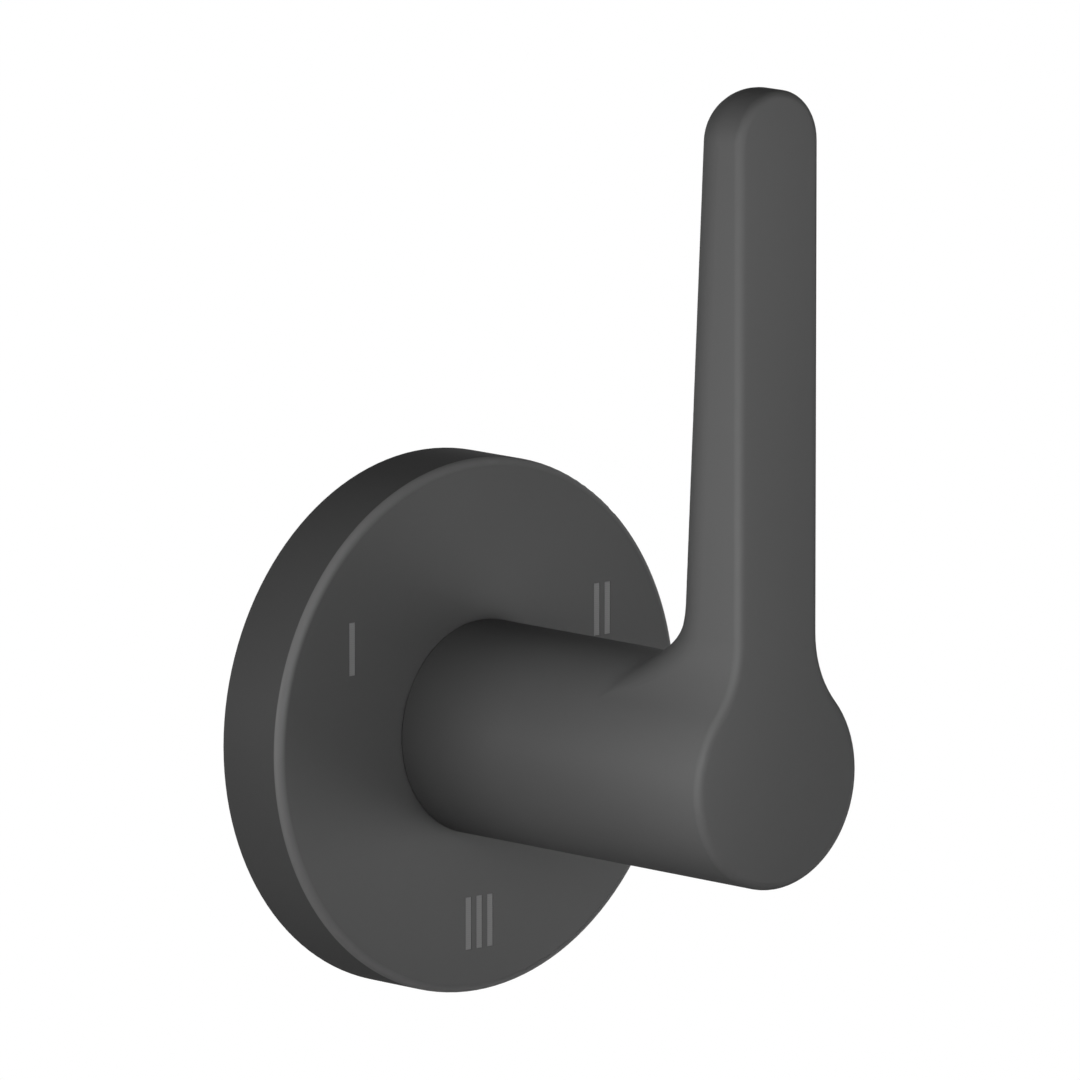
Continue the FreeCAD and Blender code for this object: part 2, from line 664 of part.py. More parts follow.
def diverting_disc():
    cuts = peg_rods(FIT_GAP, CARRIER_BACK - PEG_L - RUN_GAP, CARRIER_BACK + PAST)
    notch_middle = NOTCH_FROM + NOTCH_W / 2
    cuts.append(rod(NOTCH_W / 2, DISC_BACK - PAST, CARRIER_BACK + PAST, V(0, 0, notch_middle)))
    cuts.append(block(NOTCH_W, 2 * DISC_R, DISC_BACK - PAST, CARRIER_BACK + PAST, 0, notch_middle + DISC_R))
    return solid(rod(DISC_R, DISC_BACK, CARRIER_BACK).cut(cuts))


PIECES = (escutcheon, escutcheon_seal, escutcheon_o_ring, escutcheon_sleeve,
          headwork_housing, headwork_o_ring, stop_ring, friction_washer,
          port_disc, disc_seal, cartridge_base, port_seals,
          lever_handle, handle_grub_screw, handle_glide_ring, spline_adapter,
          adapter_screw, detent_ball, detent_spring, spindle, spindle_o_rings,
          spindle_circlip, disc_carrier, diverting_disc)

os.makedirs("parts", exist_ok=True)
for piece in PIECES:
    shape = piece()
    closed = shape.isValid() and all(s.isClosed() for s in shape.Shells)
    state = "closed" if closed else "NOT CLOSED"
    print(piece.__name__, "solids", len(shape.Solids), "volume %.1f" % shape.Volume, state)
    shape.exportStep("parts/" + piece.__name__ + ".step")
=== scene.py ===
"""Shower diverter valve trim: lever handle, round escutcheon and ceramic disc headwork.

Run by Blender 4.5 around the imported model. The frame is the model's own, in metres:
the turning axis is Y, the wall face is y = 0, the front looks along -Y and +Z is up.
"Front" below is a distance in front of the wall face; behind it the distance is negative.
"""
import math

import bpy
from mathutils import Matrix, Vector


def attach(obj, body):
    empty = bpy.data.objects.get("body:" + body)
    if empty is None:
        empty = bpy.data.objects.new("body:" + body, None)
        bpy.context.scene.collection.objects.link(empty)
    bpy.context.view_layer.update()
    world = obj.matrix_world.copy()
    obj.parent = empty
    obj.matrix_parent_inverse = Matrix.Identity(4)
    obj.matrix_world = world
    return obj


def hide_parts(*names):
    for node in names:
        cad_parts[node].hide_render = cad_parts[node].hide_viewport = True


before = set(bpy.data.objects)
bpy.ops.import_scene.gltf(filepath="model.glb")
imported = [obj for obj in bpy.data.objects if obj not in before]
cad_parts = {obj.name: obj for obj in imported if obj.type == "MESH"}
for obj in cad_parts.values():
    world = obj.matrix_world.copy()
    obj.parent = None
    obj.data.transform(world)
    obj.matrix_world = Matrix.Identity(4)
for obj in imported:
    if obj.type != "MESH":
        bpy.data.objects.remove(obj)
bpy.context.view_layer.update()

bl_info = {
    "name": "Shower diverter valve",
    "version": (1, 0, 0),
    "blender": (4, 5, 0),
    "location": "View3D > Sidebar > Valve",
    "description": "Dresses the packed diverter valve with its finishes, marks, threads and a studio",
    "category": "Object",
}

MM = 0.001
STILL_BODY = "valve"
TURNING_BODY = "lever"
AXIS_TURN = math.radians(90)      # turns a primitive's Z onto the valve axis

# Places on the valve, in millimetres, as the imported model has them
FACE_FRONT = 9.2                  # front face of the escutcheon
ROSE_R = 30.0                     # outer radius of the escutcheon
ROSE_EDGE_R = 0.95                # rounding of its front edge
MARKS = ((-60.5, 22.0), (59.0, 21.5), (180.5, 22.1))      # angle from the top, radius
BORE_R = 5.6                      # bore of the housing, for the spindle
CHAMBER_R = 9.7                   # chamber of the housing, for the discs
CHAMBER_FLOOR = -2.0
NOSE_R = 11.0                     # plain back end of the housing
NOSE_BACK = -17.6
THREAD_R = 12.0                   # thread that screws into the wall
THREAD_BACK = -8.0
HEX_FLATS = 30.0                  # hexagon, across its flats
HEX_FRONT = 4.0
SLEEVE_THREAD_R = 9.0             # thread that carries the escutcheon's sleeve
SLEEVE_THREAD_FRONT = 12.2
NECK_R = 8.2
RING_SEAT_BACK = 16.5             # seat of the stop ring
RING_SEAT_R = 7.2
RING_SEAT_FLAT = 6.6              # distance of its two flats from the axis
NECK_FRONT = 20.0
SEAL_R = 13.4                     # middle of the ring groove in the hexagon's back
SEAL_WIRE = 1.7                   # thickness of its ring
WINDOW_BACK, WINDOW_FRONT, WINDOW_W = -12.0, -9.0, 10.0   # windows in the chamber's sides
TAB_BACK, TAB_FRONT, TAB_W = -16.85, -15.55, 4.1          # slots that hold the cartridge base

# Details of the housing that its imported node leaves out, in millimetres
HEX_CHAMFER = 0.6
THREAD_LEAD = 0.7                 # chamfer where the wall thread begins
SLEEVE_THREAD_LEAD = 0.6
RELIEF_REACH, RELIEF_FLOOR = 1.1, 0.8                 # undercut behind the hexagon, and its flat part
SLEEVE_RELIEF_REACH, SLEEVE_RELIEF_FLOOR = 1.3, 0.9   # the same in front of the hexagon
RELIEF_SHARE = 0.65               # depth of an undercut as a share of the pitch
SEAL_PLAY = 0.05                  # between the ring and its groove
NECK_EDGE = 0.3
RING_SEAT_EDGE = 0.2
BORE_EDGE = 0.3

# Cutters, in millimetres
THREAD_SHARE = 0.6134             # depth of a metric thread as a share of its pitch
GROOVE_OVER = 0.04                # a groove's cutter stands out this far over the crest
GROOVE_START = 0.4                # and begins this far before the thread does
GROOVE_STOP, SLEEVE_GROOVE_STOP = 0.6, 0.5       # it ends in the undercut, this far from the hexagon
THROUGH = 40.0                    # longer than the housing is wide
FLAT_CUTTER = (2.0, 4.5, 20.0)

# How finely shapes are divided, smoothed and merged
TURNED_SIDES = 128
GROOVE_STEPS = 64                 # for each turn of a thread
SMOOTH_ANGLE = math.radians(35)   # sharper edges stay hard
EASED_ANGLE = math.radians(38)    # sharper edges are rounded
FLAT_ANGLE = math.radians(0.5)    # faces this near to one plane are joined
SAME_PLACE = 1e-6                 # points this near are one, in metres
SAME_NODE_PLACE = 2e-6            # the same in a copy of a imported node

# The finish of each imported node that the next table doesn't name
NODE_FINISHES = {
    "lever_handle": "graphite_powder_coat",
    # the escutcheon's coat carries a painted highlight on its rounded front edge
    "escutcheon": "painted_highlight_powder_coat",
    "headwork_housing": "turned_brass",
    "detent_ball": "stainless_steel",
    "detent_spring": "stainless_steel",
    "escutcheon_o_ring": "moulded_rubber",
    "headwork_o_ring": "moulded_rubber",
    "port_seals": "moulded_rubber",
    "spindle_o_rings": "moulded_rubber",
}

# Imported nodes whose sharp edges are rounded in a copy: radius in millimetres, body, finish, slot
EASED_NODES = {
    "cartridge_base": (0.25, STILL_BODY, "glass_filled_nylon", "dark_nylon"),
    "stop_ring": (0.12, STILL_BODY, "glass_filled_nylon", "dark_nylon"),
    "port_disc": (0.15, STILL_BODY, "lapped_alumina", "ceramic"),
    "disc_seal": (0.12, STILL_BODY, "moulded_rubber", "rubber"),
    "escutcheon_seal": (0.2, STILL_BODY, "moulded_rubber", "rubber"),
    "escutcheon_sleeve": (0.12, STILL_BODY, "turned_brass", "brass"),
    "friction_washer": (0.08, STILL_BODY, "moulded_acetal", "acetal"),
    "spline_adapter": (0.12, TURNING_BODY, "moulded_acetal", "acetal"),
    "handle_glide_ring": (0.1, TURNING_BODY, "moulded_acetal", "acetal"),
    "disc_carrier": (0.15, TURNING_BODY, "moulded_acetal", "acetal"),
    "diverting_disc": (0.15, TURNING_BODY, "lapped_alumina", "ceramic"),
    "spindle": (0.08, TURNING_BODY, "turned_brass", "brass"),
    "spindle_circlip": (0.08, TURNING_BODY, "stainless_steel", "stainless_steel"),
    "adapter_screw": (0.06, TURNING_BODY, "stainless_steel", "stainless_steel"),
    "handle_grub_screw": (0.1, TURNING_BODY, "stainless_steel", "stainless_steel"),
}


# Colours and patterns

def linear(hex_code):
    """Linear red, green and blue of an sRGB hex colour such as 4A4A4B."""
    parts = [int(hex_code[i:i + 2], 16) / 255 for i in (0, 2, 4)]
    return [c / 12.92 if c <= 0.04045 else ((c + 0.055) / 1.055) ** 2.4 for c in parts]


def per(size_mm):
    """Texture scale at which one feature of a pattern is that many millimetres wide."""
    return 1 / (size_mm * MM)


def add_node(tree, kind, settings=None, links=None):
    """Adds a node; settings go to its properties or inputs, links join outputs to its inputs."""
    node = tree.nodes.new(kind)
    for key, value in (settings or {}).items():
        if isinstance(key, str) and hasattr(node, key):
            setattr(node, key, value)
        else:
            node.inputs[key].default_value = value
    for key, output in (links or {}).items():
        tree.links.new(output, node.inputs[key])
    return node


# Sizes and colours that a user may change

def colour(name, hex_code, description):
    """Colour property with an sRGB hex default."""
    return bpy.props.FloatVectorProperty(name=name, subtype="COLOR", size=3, min=0, max=1,
                                         default=linear(hex_code), description=description)


def length(name, millimetres, description):
    """Length property with a default given in millimetres."""
    return bpy.props.FloatProperty(name=name, unit="LENGTH", default=millimetres * MM, precision=5,
                                   description=description)


class ValveMarks(bpy.types.PropertyGroup):
    """Bars that show the three positions."""
    bar_width: length("Bar width", 0.83, "Width of one bar")
    bar_height: length("Bar height", 5.91, "Height of one bar")
    pitch: length("Pitch", 1.62, "Distance between the middles of two bars")
    depth: length("Depth", 0.23, "Thickness of a bar, down to the floor of its groove")
    sunk: length("Sunk", 0.02, "How far a bar's face lies below the escutcheon's face")
    edge: length("Edge", 0.04, "Rounding of a bar's front edges")


class ValveThreads(bpy.types.PropertyGroup):
    """Threads and edges of the brass housing."""
    pitch: length("Pitch", 1.0, "Pitch of both threads")
    chamfer: length("Chamfer", 0.35, "Chamfer on turned edges")
    window_round: length("Window corners", 0.8, "Corner radius of the side windows")


class ValveColours(bpy.types.PropertyGroup):
    """Colours of the finishes."""
    coating: colour("Coating", "515151", "Powder coat on handle and escutcheon")
    mark: colour("Marks", "757575", "Filling of the position marks")
    brass: colour("Brass", "CDAA66", "Turned brass")
    steel: colour("Steel", "C5C4C2", "Stainless steel")
    acetal: colour("Acetal", "E6E3D8", "Unfilled acetal")
    nylon: colour("Nylon", "232324", "Glass-filled nylon")
    ceramic: colour("Ceramic", "EDE9DF", "Alumina")
    rubber: colour("Rubber", "1D1D1E", "Moulded rubber")
    floor: colour("Floor", "F2F2F2", "Studio floor")


class ValveStudio(bpy.types.PropertyGroup):
    """Floor and camera."""
    floor_drop: length("Floor drop", 1100.0, "Height at which the valve is mounted above the floor")
    floor_size: length("Floor size", 6000.0, "Side of the floor")
    lens: bpy.props.FloatProperty(name="Lens", default=566.5, unit="CAMERA", description="Focal length")


GROUPS = {"valve_marks": ValveMarks, "valve_threads": ValveThreads, "valve_colours": ValveColours,
          "valve_studio": ValveStudio}


# Finishes

def finish(name, base, roughness, metallic=0.0, **more):
    """New material with its shader set; returns it with its tree, shader and object coordinates."""
    material = bpy.data.materials.new(name)
    material.use_nodes = True
    tree = material.node_tree
    shader = tree.nodes["Principled BSDF"]
    shader.inputs["Base Color"].default_value = (*base, 1)
    shader.inputs["Roughness"].default_value = roughness
    shader.inputs["Metallic"].default_value = metallic
    for key, value in more.items():
        shader.inputs[key.replace("_", " ")].default_value = value
    place = add_node(tree, "ShaderNodeTexCoord").outputs["Object"]
    return material, tree, shader, place


def shade_range(tree, factor, base, low, high):
    """Colour output that runs from low to high times the base colour."""
    mix = add_node(tree, "ShaderNodeMix", {"data_type": "RGBA"}, {"Factor": factor})
    for key, share in ((6, low), (7, high)):
        mix.inputs[key].default_value = (*[min(c * share, 1) for c in base], 1)
    return mix.outputs[2]


def value_range(tree, factor, low, high):
    """Number output that runs from low to high as the factor runs from 0 to 1."""
    spread = add_node(tree, "ShaderNodeMapRange", {"To Min": low, "To Max": high}, {"Value": factor})
    return spread.outputs["Result"]


def relief(tree, shader, height, depth_mm):
    """Bumps the shader's surface by a height pattern of that depth."""
    bump = add_node(tree, "ShaderNodeBump", {"Strength": 1.0, "Distance": depth_mm * MM}, {"Height": height})
    tree.links.new(bump.outputs["Normal"], shader.inputs["Normal"])


def graphite_powder_coat(name="graphite_powder_coat"):
    """Graphite powder coat with fine aluminium flake, baked on a casting: even, with a soft sheen.

    The flakes shine and the resin between them is dull, so what is seen edge on stays dark."""
    base = bpy.context.scene.valve_colours.coating
    material, tree, shader, place = finish(name, base, 0.42, 0.08, Specular_IOR_Level=0.0,
                                           Specular_Tint=(0.3, 0.3, 0.3, 1))
    # The powder melts to a grain of about 0.1 mm; it is drawn at 0.3 mm, so that it shows at all
    grain = add_node(tree, "ShaderNodeTexNoise", {"Scale": per(0.3), "Detail": 2.0}, {"Vector": place})
    cloud = add_node(tree, "ShaderNodeTexNoise", {"Scale": per(9.0), "Detail": 3.0}, {"Vector": place})
    tree.links.new(shade_range(tree, cloud.outputs["Fac"], base, 0.985, 1.015), shader.inputs["Base Color"])
    tree.links.new(value_range(tree, cloud.outputs["Fac"], 0.4, 0.45), shader.inputs["Roughness"])
    relief(tree, shader, grain.outputs["Fac"], 0.002)
    return material


# Painted highlight on the escutcheon's rounded front edge, a lighter colour that stands in for a lamp's
# gloss: how much brighter it is where it is full, and where it sets in and is full, in millimetres in front
# of the plain wall
EDGE_HIGHLIGHT_GAIN = 2.1
EDGE_HIGHLIGHT_FROM, EDGE_HIGHLIGHT_FULL = 0.03, 0.1


def painted_highlight_powder_coat():
    """The same coat on the escutcheon, with a painted highlight: its rounded front edge is coloured brighter
    to stand in for a lamp's gloss.
    """
    material = graphite_powder_coat("painted_highlight_powder_coat")
    tree = material.node_tree
    shader = tree.nodes["Principled BSDF"]
    coat = shader.inputs["Base Color"].links[0].from_socket
    place = add_node(tree, "ShaderNodeTexCoord").outputs["Object"]
    across = add_node(tree, "ShaderNodeVectorMath", {"operation": "MULTIPLY", 1: (1, 0, 1)}, {0: place})
    radius = add_node(tree, "ShaderNodeVectorMath", {"operation": "LENGTH"}, {0: across.outputs[0]})
    depth = add_node(tree, "ShaderNodeSeparateXYZ", {}, {0: place})
    # The painted highlight grows outwards over the rounding
    face_r, wall_front = ROSE_R - ROSE_EDGE_R, FACE_FRONT - ROSE_EDGE_R
    outer = add_node(tree, "ShaderNodeMapRange", {"From Min": face_r * MM, "From Max": ROSE_R * MM},
                     {"Value": radius.outputs["Value"]})
    front = add_node(tree, "ShaderNodeMapRange", {"From Min": -(wall_front + EDGE_HIGHLIGHT_FROM) * MM,
                                                  "From Max": -(wall_front + EDGE_HIGHLIGHT_FULL) * MM},
                     {"Value": depth.outputs["Y"]})
    highlight_share = add_node(tree, "ShaderNodeMath", {"operation": "MULTIPLY"},
                      {0: outer.outputs["Result"], 1: front.outputs["Result"]})
    # Painted highlight: the colour of the rounded edge is made this much brighter, standing in for gloss, not
    # for wear of the coat
    bright = [c * EDGE_HIGHLIGHT_GAIN for c in bpy.context.scene.valve_colours.coating]
    mix = add_node(tree, "ShaderNodeMix", {"data_type": "RGBA"}, {"Factor": highlight_share.outputs["Value"], 6: coat})
    mix.inputs[7].default_value = (*bright, 1)
    tree.links.new(mix.outputs[2], shader.inputs["Base Color"])
    return material


def laser_cleared_mark():
    """Coat bleached by a laser in close passes: lighter, duller and very finely ruled."""
    base = bpy.context.scene.valve_colours.mark
    material, tree, shader, place = finish("laser_cleared_mark", base, 0.62, Specular_IOR_Level=0.1)
    # The passes are 0.05 mm apart; they are drawn at 0.12 mm, so that they show at all
    passes = add_node(tree, "ShaderNodeTexWave",
                      {"bands_direction": "Z", "Scale": per(0.12) / (2 * math.pi), "Distortion": 0.4},
                      {"Vector": place})
    tree.links.new(shade_range(tree, passes.outputs["Fac"], base, 0.96, 1.04), shader.inputs["Base Color"])
    relief(tree, shader, passes.outputs["Fac"], 0.003)
    return material


def turned_brass():
    """Free-cutting brass from the lathe: bright, with tool lines a feed apart on faces and rims."""
    base = bpy.context.scene.valve_colours.brass
    material, tree, shader, place = finish("turned_brass", base, 0.24, 1.0)
    feed = per(0.16) / (2 * math.pi)
    # Rings about the axis show on faces, bands along it on rims
    rings = add_node(tree, "ShaderNodeTexWave",
                     {"wave_type": "RINGS", "rings_direction": "Y", "Scale": feed}, {"Vector": place})
    bands = add_node(tree, "ShaderNodeTexWave", {"bands_direction": "Y", "Scale": feed}, {"Vector": place})
    lines = add_node(tree, "ShaderNodeMath", {"operation": "ADD"},
                     {0: rings.outputs["Fac"], 1: bands.outputs["Fac"]}).outputs["Value"]
    stain = add_node(tree, "ShaderNodeTexNoise", {"Scale": per(4.0), "Detail": 4.0}, {"Vector": place})
    tree.links.new(shade_range(tree, stain.outputs["Fac"], base, 0.86, 1.05), shader.inputs["Base Color"])
    tree.links.new(value_range(tree, stain.outputs["Fac"], 0.19, 0.33), shader.inputs["Roughness"])
    relief(tree, shader, lines, 0.0015)
    return material


def stainless_steel():
    """Cold-headed and drawn stainless steel: bright with faint drawing streaks."""
    base = bpy.context.scene.valve_colours.steel
    material, tree, shader, place = finish("stainless_steel", base, 0.22, 1.0)
    streaks = add_node(tree, "ShaderNodeTexNoise", {"Scale": per(0.25), "Detail": 3.0}, {"Vector": place})
    tree.links.new(value_range(tree, streaks.outputs["Fac"], 0.15, 0.32), shader.inputs["Roughness"])
    tree.links.new(shade_range(tree, streaks.outputs["Fac"], base, 0.92, 1.04), shader.inputs["Base Color"])
    relief(tree, shader, streaks.outputs["Fac"], 0.001)
    return material


def moulded_acetal():
    """Unfilled acetal from a polished mould: off-white and waxy, with faint clouds from the flow."""
    base = bpy.context.scene.valve_colours.acetal
    material, tree, shader, place = finish("moulded_acetal", base, 0.36, IOR=1.48)
    flow = add_node(tree, "ShaderNodeTexNoise", {"Scale": per(3.0), "Detail": 2.0, "Distortion": 0.6},
                    {"Vector": place})
    tree.links.new(shade_range(tree, flow.outputs["Fac"], base, 0.95, 1.03), shader.inputs["Base Color"])
    tree.links.new(value_range(tree, flow.outputs["Fac"], 0.3, 0.42), shader.inputs["Roughness"])
    relief(tree, shader, flow.outputs["Fac"], 0.004)
    return material


def glass_filled_nylon():
    """Black nylon with glass fibres: dull skin, with the fibres showing as short pale flecks."""
    base = bpy.context.scene.valve_colours.nylon
    material, tree, shader, place = finish("glass_filled_nylon", base, 0.5, IOR=1.53)
    # The fibres are 0.01 mm thick; they are drawn at 0.12 mm and four times as long, to show at all
    stretch = add_node(tree, "ShaderNodeMapping", {"Scale": (1.0, 1.0, 0.25)}, {"Vector": place})
    fibres = add_node(tree, "ShaderNodeTexNoise", {"Scale": per(0.12), "Detail": 2.0},
                      {"Vector": stretch.outputs["Vector"]})
    skin = add_node(tree, "ShaderNodeTexNoise", {"Scale": per(2.5), "Detail": 3.0}, {"Vector": place})
    tree.links.new(shade_range(tree, fibres.outputs["Fac"], base, 0.7, 1.5), shader.inputs["Base Color"])
    tree.links.new(value_range(tree, skin.outputs["Fac"], 0.42, 0.6), shader.inputs["Roughness"])
    relief(tree, shader, fibres.outputs["Fac"], 0.004)
    return material


def lapped_alumina():
    """Alumina ceramic lapped flat: ivory, hard and mirror-smooth with tiny pores."""
    base = bpy.context.scene.valve_colours.ceramic
    material, tree, shader, place = finish("lapped_alumina", base, 0.14, IOR=1.76)
    # Pores are a few thousandths of a millimetre wide; they are drawn up to 0.08 mm wide, to show at all
    pores = add_node(tree, "ShaderNodeTexVoronoi", {"Scale": per(0.35)}, {"Vector": place})
    spots = add_node(tree, "ShaderNodeMapRange", {"From Min": 0.02, "From Max": 0.12},
                     {"Value": pores.outputs["Distance"]}).outputs["Result"]
    tree.links.new(shade_range(tree, spots, base, 0.8, 1.0), shader.inputs["Base Color"])
    tree.links.new(value_range(tree, spots, 0.4, 0.12), shader.inputs["Roughness"])
    relief(tree, shader, spots, 0.002)
    return material


def moulded_rubber():
    """Black rubber cured in a spark-eroded mould: dull, with a fine even grain and a grey bloom."""
    base = bpy.context.scene.valve_colours.rubber
    material, tree, shader, place = finish("moulded_rubber", base, 0.66, IOR=1.52)
    # The mould's grain is about 0.05 mm; it is drawn at 0.15 mm, so that it shows at all
    grain = add_node(tree, "ShaderNodeTexNoise", {"Scale": per(0.15), "Detail": 2.0}, {"Vector": place})
    bloom = add_node(tree, "ShaderNodeTexNoise", {"Scale": per(2.0), "Detail": 4.0}, {"Vector": place})
    tree.links.new(shade_range(tree, bloom.outputs["Fac"], base, 0.8, 1.6), shader.inputs["Base Color"])
    tree.links.new(value_range(tree, bloom.outputs["Fac"], 0.58, 0.74), shader.inputs["Roughness"])
    relief(tree, shader, grain.outputs["Fac"], 0.006)
    return material


FINISHES = {f.__name__: f for f in (graphite_powder_coat, painted_highlight_powder_coat, laser_cleared_mark,
                                    turned_brass, stainless_steel, moulded_acetal, glass_filled_nylon,
                                    lapped_alumina, moulded_rubber)}


def material_of(name):
    """The finish of that name, made when it is first asked for."""
    return bpy.data.materials.get(name) or FINISHES[name]()


def dress(piece, name):
    """Gives a piece one finish all over."""
    if not piece.data.materials:
        piece.data.materials.append(None)
    for material_slot in piece.material_slots:
        material_slot.material = material_of(name)


# Modelling by operator

def pick_nothing():
    """Deselects everything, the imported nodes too."""
    bpy.ops.object.select_all(action="DESELECT")


def pick(piece):
    """Selects this piece alone and makes it active."""
    pick_nothing()
    piece.select_set(True)
    bpy.context.view_layer.objects.active = piece


def begun(name):
    """Names the primitive just added and opens it for editing, all selected."""
    piece = bpy.context.active_object
    piece.name = piece.data.name = name
    bpy.ops.object.transform_apply()
    bpy.ops.object.mode_set(mode="EDIT")
    bpy.ops.mesh.select_all(action="SELECT")
    return piece


def done(piece):
    """Leaves edit mode with doubles merged and faces pointing outwards."""
    bpy.ops.mesh.select_all(action="SELECT")
    bpy.ops.mesh.remove_doubles(threshold=SAME_PLACE)
    bpy.ops.mesh.normals_make_consistent(inside=False)
    bpy.ops.object.mode_set(mode="OBJECT")
    return piece


def choose(piece, wanted):
    """In edit mode, selects the edges whose two ends pass a test."""
    bpy.ops.mesh.select_mode(type="EDGE")
    bpy.ops.mesh.select_all(action="DESELECT")
    bpy.ops.object.mode_set(mode="OBJECT")
    points = piece.data.vertices
    for edge in piece.data.edges:
        edge.select = wanted(*[points[i].co for i in edge.vertices])
    bpy.ops.object.mode_set(mode="EDIT")


def apply(piece, kind, **settings):
    """Adds a modifier with its settings and applies it."""
    pick(piece)
    modifier = piece.modifiers.new(kind.title(), kind)
    for key, value in settings.items():
        setattr(modifier, key, value)
    bpy.ops.object.modifier_apply(modifier=modifier.name)


def cut(piece, cutter):
    """Cuts one piece by another, which is used up."""
    apply(piece, "BOOLEAN", operation="DIFFERENCE", solver="EXACT", object=cutter)
    bpy.data.objects.remove(cutter)


def circle(name, sides, radius, front, turn=0.0):
    """Circle about the valve axis, open for editing."""
    pick_nothing()
    bpy.ops.mesh.primitive_circle_add(vertices=sides, radius=radius * MM, location=(0, -front * MM, 0),
                                      rotation=(AXIS_TURN, turn, 0))
    return begun(name)


def turned(name, outline):
    """Turned shape: a circle drawn from one (radius, front) point of a closed outline to the next."""
    piece = circle(name, TURNED_SIDES, *outline[0])
    radius, front = outline[0]
    for next_radius, next_front in outline[1:] + outline[:1]:
        step = (0, (front - next_front) * MM, 0)
        bpy.ops.mesh.extrude_region_move(TRANSFORM_OT_translate={"value": step})
        grow = next_radius / radius
        bpy.ops.transform.resize(value=(grow, 1, grow), center_override=(0, -next_front * MM, 0))
        radius, front = next_radius, next_front
    return done(piece)


def block(name, size, centre):
    """Block of a size in x, front and z, about a centre, open for editing."""
    pick_nothing()
    bpy.ops.mesh.primitive_cube_add(size=1, location=(centre[0] * MM, -centre[1] * MM, centre[2] * MM),
                                    scale=[s * MM for s in size])
    return begun(name)


def helix_cutter(name, crest_r, pitch, back, front):
    """Sharp ridge that winds about the axis, to cut a thread's groove with."""
    flank = math.radians(30)
    root_r = crest_r - THREAD_SHARE * pitch
    outer_r = crest_r + GROOVE_OVER
    # A real root has a flat of an eighth of the pitch, so the ridge is that much wider
    half = (outer_r - root_r) * math.tan(flank) + pitch / 16
    pick_nothing()
    bpy.ops.mesh.primitive_circle_add(vertices=3, radius=0.5 * MM, location=(crest_r * MM, -back * MM, 0))
    piece = begun(name)
    bpy.ops.object.mode_set(mode="OBJECT")
    corners = ((root_r, 0.0), (outer_r, half), (outer_r, -half))
    for vertex, (radius, shift) in zip(piece.data.vertices, corners):
        vertex.co = (radius * MM, (-back + shift) * MM, 0)
    turns = (front - back) / pitch
    steps = int(GROOVE_STEPS * turns)
    apply(piece, "SCREW", axis="Y", angle=2 * math.pi * turns, screw_offset=-(front - back) * MM,
          steps=steps, render_steps=steps, use_merge_vertices=False)
    bpy.ops.object.mode_set(mode="EDIT")
    bpy.ops.mesh.select_all(action="SELECT")
    bpy.ops.mesh.fill_holes(sides=4)
    return done(piece)


def merged_copy(node, name):
    """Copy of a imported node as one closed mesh, with its flat faces whole again."""
    piece = bpy.data.objects.new(name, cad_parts[node].data.copy())
    piece.data.name = name
    bpy.context.scene.collection.objects.link(piece)
    pick(piece)
    bpy.ops.mesh.customdata_custom_splitnormals_clear()
    bpy.ops.object.mode_set(mode="EDIT")
    bpy.ops.mesh.select_all(action="SELECT")
    bpy.ops.mesh.remove_doubles(threshold=SAME_NODE_PLACE)
    bpy.ops.mesh.dissolve_limited(angle_limit=FLAT_ANGLE)
    return done(piece)


def placed(piece, finish_name, body=STILL_BODY, stands_for=()):
    """Finishes a piece: smooth shading, material, body and slot."""
    pick(piece)
    bpy.ops.object.shade_smooth_by_angle(angle=SMOOTH_ANGLE)
    apply(piece, "WEIGHTED_NORMAL", keep_sharp=True, weight=100)
    dress(piece, finish_name)
    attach(piece, body)
    if stands_for:
        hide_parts(*stands_for)


class VALVE_OT_finishes(bpy.types.Operator):
    """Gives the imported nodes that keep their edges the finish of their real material"""
    bl_idname = "valve.finishes"
    bl_label = "Finishes"

    def execute(self, context):
        for node, name in NODE_FINISHES.items():
            dress(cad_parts[node], name)
        return {"FINISHED"}


class VALVE_OT_eased_edges(bpy.types.Operator):
    """Eases the sharp edges of the moulded, lapped and machined pieces in copies that stand for them"""
    bl_idname = "valve.eased_edges"
    bl_label = "Eased edges"

    def execute(self, context):
        for node, (radius, body, finish_name, slot_name) in EASED_NODES.items():
            piece = merged_copy(node, node + "_eased")
            apply(piece, "BEVEL", width=radius * MM, segments=2, limit_method="ANGLE",
                  angle_limit=EASED_ANGLE, use_clamp_overlap=True)
            dress(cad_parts[node], finish_name)
            placed(piece, finish_name, body, (node,))
        return {"FINISHED"}


class VALVE_OT_position_marks(bpy.types.Operator):
    """Fills the engraved bars I, II and III with their lighter mark"""
    bl_idname = "valve.position_marks"
    bl_label = "Position marks"

    def execute(self, context):
        sizes = context.scene.valve_marks
        width, height, depth = sizes.bar_width / MM, sizes.bar_height / MM, sizes.depth / MM
        face = FACE_FRONT - sizes.sunk / MM
        pattern = block("mark_pattern", (width, depth, height), (0, face - depth / 2, 0))
        limit = -face * MM + SAME_PLACE
        choose(pattern, lambda a, b: a.y < limit and b.y < limit)
        bpy.ops.mesh.bevel(offset=sizes.edge, segments=3, affect="EDGES")
        done(pattern)
        for count, (angle, radius) in enumerate(MARKS, 1):
            turn = math.radians(angle)
            for i in range(count):
                pick(pattern)
                bpy.ops.object.duplicate()
                bar = context.active_object
                bar.name = bar.data.name = f"mark_{count}_bar_{i + 1}"
                shift = (i - (count - 1) / 2) * sizes.pitch
                bar.location = (radius * MM * math.sin(turn) + shift, 0, radius * MM * math.cos(turn))
                bpy.ops.object.transform_apply()
                placed(bar, "laser_cleared_mark")
        bpy.data.objects.remove(pattern)
        return {"FINISHED"}


